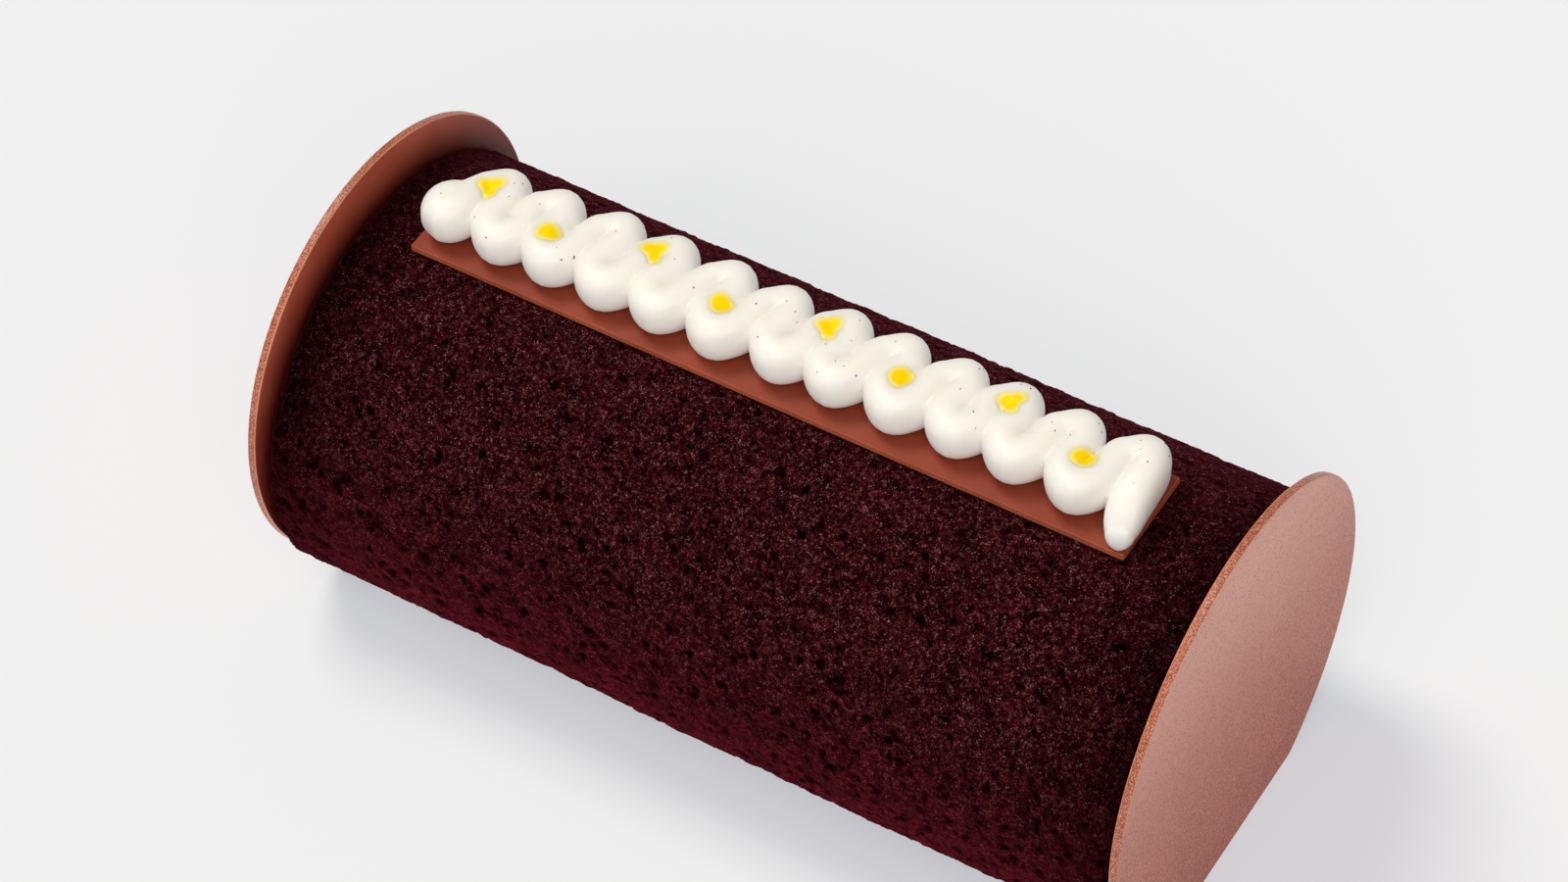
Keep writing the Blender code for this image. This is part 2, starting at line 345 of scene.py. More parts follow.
def colour_ramp(tree, factor, stops):
    """Colours along a factor: stops are pairs of place and colour."""
    made = add_node(tree, "ShaderNodeValToRGB")
    elements = made.color_ramp.elements
    while len(elements) < len(stops):
        elements.new(0.5)
    for element, (place, colour) in zip(elements, stops):
        element.position = place
        element.color = (*colour, 1.0)
    tree.links.new(factor, made.inputs["Fac"])
    return made.outputs["Color"]


def grey_ramp(tree, factor, stops):
    """Greys along a factor: stops are pairs of place and brightness."""
    return colour_ramp(tree, factor, [(place, (value, value, value)) for place, value in stops])


def mix_colours(tree, factor, first, second, blend="MIX"):
    """Two colours mixed by a factor, each a socket or a plain colour."""
    made = add_node(tree, "ShaderNodeMix", data_type="RGBA", blend_type=blend)
    for place, value in ((MIX_FACTOR, factor), (COLOUR_FIRST, first), (COLOUR_SECOND, second)):
        socket = made.inputs[place]
        if isinstance(value, bpy.types.NodeSocket):
            tree.links.new(value, socket)
        elif isinstance(value, float):
            socket.default_value = value
        else:
            socket.default_value = (*value, 1.0)
    return made.outputs[COLOUR_RESULT]


def multiply(tree, first, second):
    """Two colours or greys multiplied."""
    return mix_colours(tree, 1.0, first, second, blend="MULTIPLY")


def mean_value(tree, first, second):
    """Halfway between two grey sockets."""
    made = add_node(tree, "ShaderNodeMix", data_type="FLOAT")
    made.inputs[MIX_FACTOR].default_value = 0.5
    tree.links.new(first, made.inputs[VALUE_FIRST])
    tree.links.new(second, made.inputs[VALUE_SECOND])
    return made.outputs[0]


def add_bump(tree, shader, height, depth, strength):
    """Fine relief from a height socket."""
    bump = add_node(tree, "ShaderNodeBump", Strength=strength, Distance=depth)
    tree.links.new(height, bump.inputs["Height"])
    tree.links.new(bump.outputs["Normal"], shader.inputs["Normal"])


def random_cells(tree, where, size):
    """Cells about as large as size: how far a place is from its cell's centre, and two random greys."""
    cells = add_node(tree, "ShaderNodeTexVoronoi", Scale=1.0 / size)
    tree.links.new(where, cells.inputs["Vector"])
    channels = add_node(tree, "ShaderNodeSeparateColor")
    tree.links.new(cells.outputs["Color"], channels.inputs[0])
    return cells.outputs["Distance"], channels.outputs[0], channels.outputs[1]


def speckle(tree, where, size, share):
    """Tiny flat grains, each lit or not: share of them is lit."""
    _, chance, _ = random_cells(tree, where, size)
    return grey_ramp(tree, chance, ((1.0 - share, 0.0), (1.0 - share * 0.5, 1.0)))


def pores(tree, where, size, share):
    """Painted shade: small round dark dots for pores, in a share of the cells."""
    distance, _, chance = random_cells(tree, where, size)
    chosen = grey_ramp(tree, chance, ((1.0 - share, 0.0), (1.0 - share * 0.6, 1.0)))
    dot = grey_ramp(tree, distance, ((0.18, 1.0), (0.42, 0.0)))
    return multiply(tree, chosen, dot)


def height_share(tree, where):
    """How high a place is on the cake: 0 at the table, 1 at the crown."""
    scaled = add_node(tree, "ShaderNodeMath", operation="MULTIPLY")
    scaled.inputs[1].default_value = 1.0 / (LOG_CENTRE_HEIGHT + LOG_HALF_HEIGHT)
    tree.links.new(coordinate(tree, where, "Z"), scaled.inputs[0])
    return scaled.outputs[0]


def end_shade(tree, where):
    """Painted shade: the crumb is darker beside the discs, at both ends, where the discs keep light off it.
    """
    from_middle = add_node(tree, "ShaderNodeMath", operation="ABSOLUTE")
    tree.links.new(coordinate(tree, where, "X"), from_middle.inputs[0])
    share = add_node(tree, "ShaderNodeMath", operation="DIVIDE")
    share.inputs[1].default_value = LOG_LENGTH / 2
    tree.links.new(from_middle.outputs[0], share.inputs[0])
    return grey_ramp(tree, share.outputs[0], ((0.74, 1.0), (0.88, 0.74), (0.985, 0.30)))


def sponge_glints(tree, where, high, lumps):
    """Tiny glints on the tips of the lumps, fewer low down."""
    bright = grey_ramp(tree, high, ((0.30, 0.10), (0.85, 1.0)))
    tips = grey_ramp(tree, lumps, ((0.44, 0.06), (0.60, 1.0)))
    lit = multiply(tree, speckle(tree, where, GLINT_SIZE, GLINT_SHARE), bright)
    return multiply(tree, lit, tips)


def sponge_material():
    """Dark burgundy crumb: wine-red lumps with painted shade in the gaps, dips, pores, pits, halfway up and
    beside the discs, tiny painted glints, and redder low down as painted light bounced up from the floor.
    """
    made, tree, shader = new_material("sponge_crumb")
    where = object_coordinates(tree)
    high = height_share(tree, where)
    low = grey_ramp(tree, high, ((0.12, 1.0), (0.72, 0.0)))
    lumps = noise_texture(tree, where, LUMP_SIZE, detail=3.0, roughness=0.6)
    grains = noise_texture(tree, where, GRAIN_SIZE, detail=1.0)
    crumb = mean_value(tree, lumps, grains)
    upper = colour_ramp(tree, crumb, UPPER_CRUMB)
    lower = colour_ramp(tree, crumb, LOWER_CRUMB)
    # Painted light: redder and brighter low down, for light bounced up from the floor.
    body = mix_colours(tree, low, upper, lower)
    # Painted shade: soft dark spots where the crumb would dip.
    dimples = noise_texture(tree, where, DIMPLE_SIZE, detail=1.0)
    body = multiply(tree, body, grey_ramp(tree, dimples, ((0.36, 0.42), (0.50, 1.0))))
    # Painted shade: darker about halfway up the sides than at the crown and the foot.
    body = multiply(tree, body, grey_ramp(tree, high, ((0.15, 0.95), (0.45, 0.74), (0.85, 1.0))))
    patches = noise_texture(tree, where, PATCH_SIZE)
    body = multiply(tree, body, grey_ramp(tree, patches, ((0.35, 0.72), (0.65, 1.0))))
    body = mix_colours(tree, sponge_glints(tree, where, high, lumps), body, GLINT_COLOUR)
    # Painted shade: dark dots for pores.
    body = mix_colours(tree, pores(tree, where, PORE_SIZE, PORE_SHARE), body, PORE_COLOUR)
    # Painted shade in the pits, darker the deeper they are.
    body = mix_colours(tree, mesh_attribute(tree, "hollow"), body, HOLLOW_COLOUR)
    # Painted shade beside the discs, at both ends.
    body = multiply(tree, body, end_shade(tree, where))
    tree.links.new(body, shader.inputs["Base Color"])
    add_bump(tree, shader, crumb, CRUMB_BUMP, strength=0.8)
    set_shader(shader, Roughness=0.9, Specular_IOR_Level=0.0)
    set_shader(shader, Sheen_Weight=0.15, Sheen_Roughness=0.5, Sheen_Tint=(*SPONGE_SHEEN, 1.0))
    return made


def chocolate_material(name, light, dark, roughness, gloss, dust=None, painted_reflection=None, sponge_shade=None):
    """Milk chocolate: satin, or dusted with powder, with a painted reflection that makes it paler higher up,
    or with painted shade beside the sponge.
    """
    made, tree, shader = new_material(name)
    where = object_coordinates(tree)
    cloud = noise_texture(tree, where, CLOUD_SIZE, detail=5.0)
    colour = colour_ramp(tree, cloud, ((0.38, dark), (0.62, light)))
    grain = noise_texture(tree, where, POWDER_SIZE, detail=2.0, roughness=0.7)
    # Painted reflection: paler higher up, where the face would mirror the bright floor.
    if painted_reflection:
        high = grey_ramp(tree, height_share(tree, where), ((0.10, 0.0), (0.55, 0.35), (1.0, 1.0)))
        colour = mix_colours(tree, high, colour, painted_reflection)
    if dust:
        pale = grey_ramp(tree, grain, ((0.50, 0.0), (0.62, 0.85)))
        colour = mix_colours(tree, pale, colour, dust)
        sunk = grey_ramp(tree, grain, ((0.34, 0.85), (0.46, 0.0)))
        colour = mix_colours(tree, sunk, colour, tuple(value * 0.5 for value in dark))
    # Painted shade: the colour darkens towards the sponge.
    if sponge_shade:
        colour = mix_colours(tree, mesh_attribute(tree, "near_sponge"), colour, sponge_shade)
    tree.links.new(colour, shader.inputs["Base Color"])
    add_bump(tree, shader, grain, POWDER_BUMP if dust else SATIN_BUMP, strength=0.6)
    set_shader(shader, Roughness=roughness, Specular_IOR_Level=gloss)
    return made


def disc_surfaces():
    """A disc's surfaces: its dusted face, its rim, its plain inside and its inner edge, which is painted
    lighter as a highlight.
    """
    face = chocolate_material(
        "chocolate_dusted",
        light=(0.41, 0.071, 0.034),
        dark=(0.35, 0.059, 0.027),
        roughness=0.40,
        gloss=0.2,
        dust=(0.70, 0.26, 0.165),
        # painted reflection, paler higher up on the face
        painted_reflection=(0.78, 0.40, 0.32),
    )
    rim = chocolate_material(
        "chocolate_rim",
        light=(0.40, 0.092, 0.046),
        dark=(0.33, 0.070, 0.036),
        roughness=0.35,
        gloss=0.35,
        dust=(0.74, 0.38, 0.26),
    )
    inside = chocolate_material(
        "chocolate_inside",
        light=(0.58, 0.122, 0.070),
        dark=(0.50, 0.098, 0.055),
        roughness=0.45,
        gloss=0.15,
        # painted shade where the inside meets the sponge
        sponge_shade=(0.08, 0.006, 0.003),
    )
    # Painted highlight: the rounded inner edge is lighter than the inside.
    edge = chocolate_material(
        "chocolate_edge_highlight", light=(0.74, 0.31, 0.20), dark=(0.62, 0.23, 0.14), roughness=0.35, gloss=0.35
    )
    return face, rim, inside, edge


def plaque_surfaces():
    """The plaque's satin top, and its cut sides painted lighter as a highlight."""
    satin = chocolate_material(
        "chocolate_satin", light=(0.27, 0.043, 0.018), dark=(0.23, 0.035, 0.015), roughness=0.36, gloss=0.40
    )
    # Painted highlight: the sides are lighter than the top.
    cut = chocolate_material(
        "chocolate_cut_highlight", light=(0.44, 0.105, 0.050), dark=(0.36, 0.078, 0.037), roughness=0.40, gloss=0.35
    )
    return satin, cut


def cream_material():
    """Smooth whipped cream that light passes into a little, tinted yellow beside the gel."""
    made, tree, shader = new_material("whipped_cream")
    where = object_coordinates(tree)
    cloud = noise_texture(tree, where, CREAM_CLOUD_SIZE)
    colour = colour_ramp(tree, cloud, ((0.35, (0.88, 0.85, 0.82)), (0.65, (0.90, 0.87, 0.845))))
    colour = mix_colours(tree, mesh_attribute(tree, "gel_bleed"), colour, (0.90, 0.80, 0.10))
    tree.links.new(colour, shader.inputs["Base Color"])
    grain = noise_texture(tree, where, CREAM_GRAIN_SIZE, detail=2.0)
    add_bump(tree, shader, grain, CREAM_BUMP, strength=0.4)
    set_shader(shader, Roughness=0.42, Subsurface_Weight=0.7, Subsurface_Scale=0.006)
    set_shader(shader, Subsurface_Radius=(1.0, 0.85, 0.6))
    return made


def gel_material():
    """Lemon gel: deep yellow, paler where it thins out towards its rim."""
    made, tree, shader = new_material("lemon_gel")
    cloud = noise_texture(tree, object_coordinates(tree), 0.0015, detail=2.0)
    deep = colour_ramp(tree, cloud, ((0.3, (0.97, 0.66, 0.002)), (0.7, (0.99, 0.76, 0.004))))
    full = grey_ramp(tree, mesh_attribute(tree, "inside"), ((0.03, 0.0), (0.24, 0.45), (0.46, 1.0)))
    colour = mix_colours(tree, full, (0.88, 0.80, 0.42), deep)
    tree.links.new(colour, shader.inputs["Base Color"])
    set_shader(shader, Roughness=0.4, Specular_IOR_Level=0.06)
    return made


def seed_material():
    """Dark brown seeds."""
    made, tree, shader = new_material("vanilla_seed")
    cloud = noise_texture(tree, object_coordinates(tree), 0.0003)
    colour = colour_ramp(tree, cloud, ((0.4, (0.010, 0.006, 0.005)), (0.6, (0.035, 0.022, 0.016))))
    tree.links.new(colour, shader.inputs["Base Color"])
    set_shader(shader, Roughness=0.6)
    return made


def link_piece(name, mesh, surfaces, slot, *nodes):
    """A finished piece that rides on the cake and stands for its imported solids."""
    for surface in surfaces:
        mesh.materials.append(surface)
    made = bpy.data.objects.new(name, mesh)
    bpy.context.scene.collection.objects.link(made)
    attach(made, "root")
    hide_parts(*nodes)


def mesh_from_grid(name, points):
    """A smooth closed mesh over a grid of points: each row closes round, and each end has one face."""
    rows, columns, _ = points.shape
    mesh = bpy.data.meshes.new(name)
    index = np.arange(rows * columns).reshape(rows, columns)
    after = np.roll(index, -1, axis=1)
    quads = np.stack([index[:-1], after[:-1], after[1:], index[1:]], axis=-1).reshape(-1, 4)
    faces = quads.tolist()
    faces.append(list(range(columns))[::-1])
    faces.append(list(range((rows - 1) * columns, rows * columns)))
    mesh.from_pydata(points.reshape(-1, 3).tolist(), [], faces)
    mesh.update()
    mesh.shade_smooth()
    return mesh


def set_attribute(mesh, name, values):
    """A grey value at each vertex, which a material reads by name."""
    attribute = mesh.attributes.new(name, "FLOAT", "POINT")
    attribute.data.foreach_set("value", np.asarray(values, np.float32).ravel())


def soft_floor(value, floor, softness):
    """The larger of the two, with a rounded change between them."""
    over = value - floor
    if abs(over) < softness:
        return floor + (over + softness) ** 2 / (4 * softness)
    return max(value, floor)


def log_crown():
    """Height of the level seat along the top of the log."""
    return LOG_CENTRE_HEIGHT + LOG_HALF_HEIGHT - LOG_SEAT_DEPTH


def log_point(x, angle):
    """A point on the log's skin: the angle runs round the section from +Y over the top."""
    y = LOG_HALF_WIDTH * math.cos(angle)
    z = LOG_CENTRE_HEIGHT + LOG_HALF_HEIGHT * math.sin(angle)
    side = max(0.0, math.cos(angle) ** 2 - LOG_CALM_SHARE)
    wave = 0.0
    for along, around, start, share in LOG_WAVES:
        wave += share * math.sin(x * along + angle * around + start)
    y += LOG_UNEVENNESS * side * wave * math.copysign(1.0, math.cos(angle))
    z = soft_floor(z, 0.0, LOG_FOOT_SOFTNESS)
    z = -soft_floor(-z, -log_crown(), LOG_SEAT_SOFTNESS)
    return Vector((x, y + LOG_SETBACK, z))


def skin_angles():
    """Angles round the section: close together on the skin that shows, wide apart under the foot."""
    fine = [2 * math.pi * i / SECTION_SAMPLES for i in range(SECTION_SAMPLES + 1)]
    places = [log_point(0.0, angle) for angle in fine]
    angles = []
    since = FOOT_STEP
    for i, angle in enumerate(fine[:-1]):
        step = SKIN_STEP if places[i].z > FOOT_TOP else FOOT_STEP
        if since >= step:
            angles.append(angle)
            since = 0.0
        since += (places[i + 1] - places[i]).length
    return angles


def crumb_relief(place):
    """How far the crumb stands out of the plain skin at a place."""
    p = Vector(place)
    coarse = noise.noise(p / COARSE_CRUMB_SIZE)
    fine = noise.noise(p / CRUMB_SIZE)
    return CRUMB_HEIGHT * (COARSE_CRUMB_SHARE * coarse + fine + CRUMB_DIP * min(coarse, 0.0))


def sponge_pits(xs, arcs, heights):
    """Depth of the sponge's open pores at each place of the grid, larger and denser low on the sides."""
    rng = random.Random(PIT_SEED)
    depth = np.zeros((len(xs), len(arcs)))
    for _ in range(PIT_COUNT):
        x = rng.uniform(xs[0], xs[-1])
        arc = rng.uniform(0.0, arcs[-1])
        lowness = 1.0 - np.interp(arc, arcs, heights) / log_crown()
        size = (PIT_SIZE + PIT_SIZE_RANGE * rng.random() ** PIT_SIZE_RARITY) * MILLIMETRE
        size *= PIT_CROWN_SCALE + PIT_FOOT_SCALE * lowness
        stretch = rng.uniform(*PIT_STRETCH)
        turn = rng.uniform(0.0, math.pi)
        deep = size * rng.uniform(*PIT_DEPTH)
        if rng.random() > PIT_CROWN_CHANCE + PIT_FOOT_CHANCE * lowness:
            continue
        reach = size * stretch * PIT_REACH
        i0, i1 = np.searchsorted(xs, (x - reach, x + reach))
        j0, j1 = np.searchsorted(arcs, (arc - reach, arc + reach))
        dx = xs[i0:i1, None] - x
        da = arcs[None, j0:j1] - arc
        along = (dx * math.cos(turn) + da * math.sin(turn)) / (size * stretch)
        across = (-dx * math.sin(turn) + da * math.cos(turn)) / size
        bowl = np.clip(1.0 - (along ** 2 + across ** 2), 0.0, 1.0) ** 0.5
        depth[i0:i1, j0:j1] = np.maximum(depth[i0:i1, j0:j1], deep * bowl)
    return depth


def outward_directions(skin):
    """At each point of the skin's grid, the direction straight out of its section."""
    along_section = np.roll(skin, 1, axis=1) - np.roll(skin, -1, axis=1)
    outwards = np.stack([np.zeros(skin.shape[:2]), -along_section[..., 2], along_section[..., 1]], axis=-1)
    return outwards / np.linalg.norm(outwards, axis=2, keepdims=True)


def end_ring(row, x):
    """The log's very end: the last row of its skin, moved to x and drawn in to round the edge."""
    ring = row.copy()
    ring[:, 0] = x
    inwards = (np.array([x, LOG_SETBACK, LOG_CENTRE_HEIGHT]) - ring) * np.array([0.0, 1.0, 1.0])
    ring += inwards / np.linalg.norm(inwards, axis=1, keepdims=True) * LOG_END_ROUNDING
    ring[:, 2] = np.maximum(ring[:, 2], 0.0)
    return ring


def make_sponge(surface):
    """The sponge's whole skin, with its crumb and pores as real relief."""
    half = LOG_LENGTH / 2 - GAP
    inner = half - LOG_END_ROUNDING
    xs = np.linspace(-inner, inner, int(2 * inner / SKIN_STEP))
    angles = skin_angles()
    skin = np.array([[log_point(x, angle) for angle in angles] for x in xs])
    section = np.array([log_point(0.0, angle) for angle in angles])
    heights = section[:, 2]
    steps = np.linalg.norm(np.roll(section, -1, axis=0) - section, axis=1)
    arcs = np.concatenate([[0.0], np.cumsum(steps)[:-1]])
    on_side = np.clip((heights - RELIEF_START) / RELIEF_FADE, 0.0, 1.0)
    pits = sponge_pits(xs, arcs, heights) * on_side
    relief = np.zeros(skin.shape[:2])
    for j in np.nonzero(on_side)[0]:
        for i in range(len(xs)):
            relief[i, j] = crumb_relief(skin[i, j]) * on_side[j]
    points = skin + outward_directions(skin) * (relief - pits)[..., None]
    points = np.concatenate([[end_ring(points[0], -half)], points, [end_ring(points[-1], half)]])
    mesh = mesh_from_grid("sponge_crumb", points)
    hollow = np.clip(pits / PIT_DARK_DEPTH, 0.0, 1.0)
    set_attribute(mesh, "hollow", np.concatenate([hollow[:1], hollow, hollow[-1:]]))
    link_piece("sponge_crumb", mesh, [surface], "sponge", "sponge_log")


def disc_outline(inset):
    """The disc's outline, a circle cut by its flat chord, drawn in by an inset."""
    radius = DISC_RADIUS - inset
    chord = math.asin((DISC_CENTRE_HEIGHT - inset) / radius)
    sweep = math.pi + 2 * chord
    arc = [-chord + sweep * i / DISC_ARC_STEPS for i in range(DISC_ARC_STEPS + 1)]
    outline = [(radius * math.cos(a), DISC_CENTRE_HEIGHT + radius * math.sin(a)) for a in arc]
    start = outline[-1][0]
    width = outline[0][0] - start
    flat = [(start + width * i / DISC_CHORD_STEPS, inset) for i in range(1, DISC_CHORD_STEPS)]
    return np.array(outline + flat)


def disc_profile():
    """The disc's rings from its inner face over the rounded rim to its outer face, as depth and inset."""
    quarter = [math.pi / 2 * step / DISC_EDGE_STEPS for step in range(DISC_EDGE_STEPS + 1)]
    profile = [(0.0, inset) for inset in INNER_FACE_RINGS]
    for angle in quarter:
        profile.append((DISC_EDGE * (1 - math.cos(angle)), DISC_EDGE * (1 - math.sin(angle))))
    for angle in quarter:
        depth = DISC_THICKNESS - DISC_EDGE * (1 - math.sin(angle))
        profile.append((depth, DISC_EDGE * (1 - math.cos(angle))))
    return profile + [(DISC_THICKNESS, inset) for inset in OUTER_FACE_RINGS]


def nearness_to_sponge(place):
    """How near a place on a disc is to the sponge, which sets its painted shade: 1 where they meet, 0 from
    SPONGE_SHADE_REACH on.
    """
    across = (place.y - LOG_SETBACK) / LOG_HALF_WIDTH
    upwards = (place.z - LOG_CENTRE_HEIGHT) / LOG_HALF_HEIGHT
    beyond = (math.hypot(across, upwards) - 1.0) * LOG_HALF_HEIGHT
    return min(1.0, max(0.0, 1.0 - beyond / SPONGE_SHADE_REACH))


def disc_part(depth):
    """Which of the disc's surfaces a face has, by its depth from the inner face."""
    if depth < DISC_EDGE * 0.1:
        return INSIDE
    if depth < DISC_EDGE * 0.6:
        return EDGE
    if depth < DISC_THICKNESS - DISC_EDGE * 0.3:
        return RIM
    return FACE


def make_disc(name, inner_face, outwards, surfaces):
    """A chocolate disc with softly rounded edges: dusted outside and on its rim, plain inside."""
    rings = []
    for depth, inset in disc_profile():
        outline = disc_outline(inset)
        x = np.full(len(outline), inner_face + outwards * depth)
        rings.append(np.column_stack([x, outline]))
    points = np.array(rings)
    for point in points.reshape(-1, 3):
        if point[2] > RIM_WAVE_START:
            wave = noise.noise(Vector(point) / RIM_WAVE_SIZE) * RIM_WAVE_HEIGHT
            away = point - np.array([point[0], 0.0, DISC_CENTRE_HEIGHT])
            point += away / np.linalg.norm(away) * wave
    mesh = mesh_from_grid(name, points if outwards < 0 else points[::-1])
    set_attribute(mesh, "near_sponge", [nearness_to_sponge(vertex.co) for vertex in mesh.vertices])
    link_piece(name + "_dusted", mesh, surfaces, "chocolate_disc", name)
    for face in mesh.polygons:
        face.material_index = disc_part(abs(face.center.x - inner_face))


def plaque_top():
    """Height of the plaque's upper face."""
    return log_crown() + GAP + PLAQUE_THICKNESS


def edge_span(edge):
    """How far an edge reaches along X, Y and Z."""
    return edge.verts[0].co - edge.verts[1].co


def make_plaque(surfaces):
    """The chocolate strip, with soft edges and a slightly uneven cut."""
    bm = bmesh.new()
    bmesh.ops.create_cube(bm, size=1.0)
    bmesh.ops.scale(bm, vec=(PLAQUE_LENGTH, PLAQUE_WIDTH, PLAQUE_THICKNESS), verts=bm.verts)
    long_edges = [edge for edge in bm.edges if abs(edge_span(edge).x) > PLAQUE_LENGTH / 2]
    bmesh.ops.subdivide_edges(bm, edges=long_edges, cuts=PLAQUE_CUTS_ALONG, use_grid_fill=True)
    wide_edges = [edge for edge in bm.edges if abs(edge_span(edge).y) > PLAQUE_WIDTH / 2]
    bmesh.ops.subdivide_edges(bm, edges=wide_edges, cuts=PLAQUE_CUTS_ACROSS, use_grid_fill=True)
    centre = (PLAQUE_CENTRE_X, PLAQUE_CENTRE_Y, plaque_top() - PLAQUE_THICKNESS / 2)
    bmesh.ops.translate(bm, vec=centre, verts=bm.verts)
    sharp = [edge for edge in bm.edges if edge.calc_face_angle(0.0) > math.pi / 4]
    bmesh.ops.bevel(bm, geom=sharp, offset=PLAQUE_BEVEL, segments=PLAQUE_BEVEL_STEPS, affect="EDGES")
    for vertex in bm.verts:
        from_middle = vertex.co.y - PLAQUE_CENTRE_Y
        if abs(from_middle) > PLAQUE_WIDTH / 2 - CUT_REACH:
            outwards = math.copysign(1.0, from_middle)
            vertex.co.y += outwards * noise.noise(vertex.co / CUT_WAVE_SIZE) * CUT_WAVE_HEIGHT
    mesh = bpy.data.meshes.new("plaque_satin")
    bm.to_mesh(mesh)
    bm.free()
    mesh.shade_smooth()
    mesh.set_sharp_from_angle(angle=math.radians(PLAQUE_SHARP_ANGLE))
    link_piece("plaque_satin", mesh, surfaces, "chocolate_plaque", "chocolate_plaque")
    for face in mesh.polygons:
        face.material_index = 1 if abs(face.normal.z) < 0.8 else 0


def bend_centres():
    """Centres of the back bends and of the front bends, in the order the strand meets them."""
    back = []
    front = []
    for i, (dx, dy) in enumerate(BACK_BEND_DRIFT):
        x = FIRST_BACK_BEND_X + BEND_PITCH * i + dx * MILLIMETRE
        back.append((x, BACK_BEND_Y + dy * MILLIMETRE))
    for i, (dx, dy) in enumerate(FRONT_BEND_DRIFT):
        x = FIRST_BACK_BEND_X + FRONT_BEND_LEAD + BEND_PITCH * i + dx * MILLIMETRE
        front.append((x, FRONT_BEND_Y + dy * MILLIMETRE))
    return back, front


def bend_stations(centre, shape):
    """A bend's points round its centre, each with its half width and the strand's half height."""
    x, y = centre
    return [(x + dx, y + dy, half_width, STRAND_HALF_HEIGHT) for dx, dy, half_width in shape]


def strand_stations():
    """Points that the strand passes, each with its half width and half height."""
    back, front = bend_centres()
    stations = [(x, y, START_HALF_WIDTH, START_HALF_HEIGHT) for x, y in START_CURL]
    for i, centre in enumerate(back):
        stations += bend_stations(centre, BACK_BEND_SHAPE)
        if i < len(front):
            stations += bend_stations(front[i], FRONT_BEND_SHAPE)
    return stations + list(TAIL_STATIONS)


def smooth_between(a, b, c, d, t):
    """Catmull-Rom value between b and c."""
    slope_b = (c - a) / 2
    slope_c = (d - b) / 2
    t2 = t * t
    t3 = t2 * t
    ends = (2 * t3 - 3 * t2 + 1) * b + (3 * t2 - 2 * t3) * c
    return ends + (t3 - 2 * t2 + t) * slope_b + (t3 - t2) * slope_c


def strand_curve():
    """The strand's stations joined by one smooth curve, as rows of x, y, half width, half height."""
    stations = strand_stations()
    padded = [stations[0]] + stations + [stations[-1]]
    curve = []
    for a, b, c, d in zip(padded, padded[1:], padded[2:], padded[3:]):
        for step in range(STEPS_BETWEEN_POINTS):
            t = step / STEPS_BETWEEN_POINTS
            curve.append([smooth_between(*values, t) for values in zip(a, b, c, d)])
    curve.append(list(stations[-1]))
    return curve


def squared(value, squareness):
    """A sine or cosine pushed outwards, for a section with fuller shoulders than a circle's."""
    return math.copysign(abs(value) ** (2.0 / squareness), value)


def strand_ring(x, y, direction, half_width, half_height):
    """One section of the strand: soft shoulders above, and pressed on the plaque below."""
    base = plaque_top() + GAP
    centre = base + STRAND_CENTRE_HEIGHT * half_height / STRAND_HALF_HEIGHT
    across = Vector((-direction.y, direction.x, 0.0))
    ring = []
    for i in range(STRAND_SIDES):
        angle = 2 * math.pi * i / STRAND_SIDES
        fullness = SHOULDER_SQUARENESS if math.sin(angle) > 0 else FOOT_SQUARENESS
        place = Vector((x, y, 0.0)) + across * (half_width * squared(math.cos(angle), fullness))
        place.z = max(base, centre + half_height * squared(math.sin(angle), fullness))
        ring.append(place)
    return ring


def strand_rings():
    """All sections of the strand, with domed ends."""
    curve = strand_curve()
    places = [Vector((row[0], row[1], 0.0)) for row in curve]
    sections = []
    for i, row in enumerate(curve):
        ahead = places[min(i + 1, len(places) - 1)]
        behind = places[max(i - 1, 0)]
        sections.append((places[i], (ahead - behind).normalized(), row[2], row[3]))
    for end, sign in ((0, -1), (len(sections) - 1, 1)):
        place, direction, half_width, half_height = sections[end]
        dome = []
        for angle in (math.radians(a) for a in DOME_ANGLES):
            reach = place + direction * (sign * half_height * math.sin(angle))
            dome.append((reach, direction, half_width * math.cos(angle), half_height * math.cos(angle)))
        sections = list(reversed(dome)) + sections if sign < 0 else sections + dome
    return [strand_ring(p.x, p.y, d, w, h) for p, d, w, h in sections]


def evaluated_mesh(made, name):
    """The object's mesh with its modifiers applied; the object itself goes."""
    graph = bpy.context.evaluated_depsgraph_get()
    mesh = bpy.data.meshes.new_from_object(made.evaluated_get(graph))
    mesh.name = name
    bpy.data.objects.remove(made, do_unlink=True)
    return mesh


def cream_mesh():
    """The strand as one smooth body, its bends run into each other."""
    raw = mesh_from_grid("strand", np.array(strand_rings()))
    bm = bmesh.new()
    bm.from_mesh(raw)
    bmesh.ops.recalc_face_normals(bm, faces=bm.faces)
    bm.to_mesh(raw)
    bm.free()
    made = bpy.data.objects.new("strand", raw)
    bpy.context.scene.collection.objects.link(made)
    join = made.modifiers.new("join", "REMESH")
    join.mode = "VOXEL"
    join.voxel_size = CREAM_VOXEL
    soften = made.modifiers.new("soften", "SMOOTH")
    soften.factor = 0.5
    soften.iterations = CREAM_SMOOTHING
    mesh = evaluated_mesh(made, "whipped_cream")
    mesh.shade_smooth()
    return mesh


def surface_tree(mesh):
    """A search tree that finds the surface below a place."""
    bm = bmesh.new()
    bm.from_mesh(mesh)
    tree = BVHTree.FromBMesh(bm)
    bm.free()
    return tree


def surface_below(tree, x, y):
    """Where a plumb line at x and y meets the surface, and the surface's normal there."""
    place, normal, _, _ = tree.ray_cast(Vector((x, y, ABOVE_ALL)), Vector((0, 0, -1)))
    return place, normal


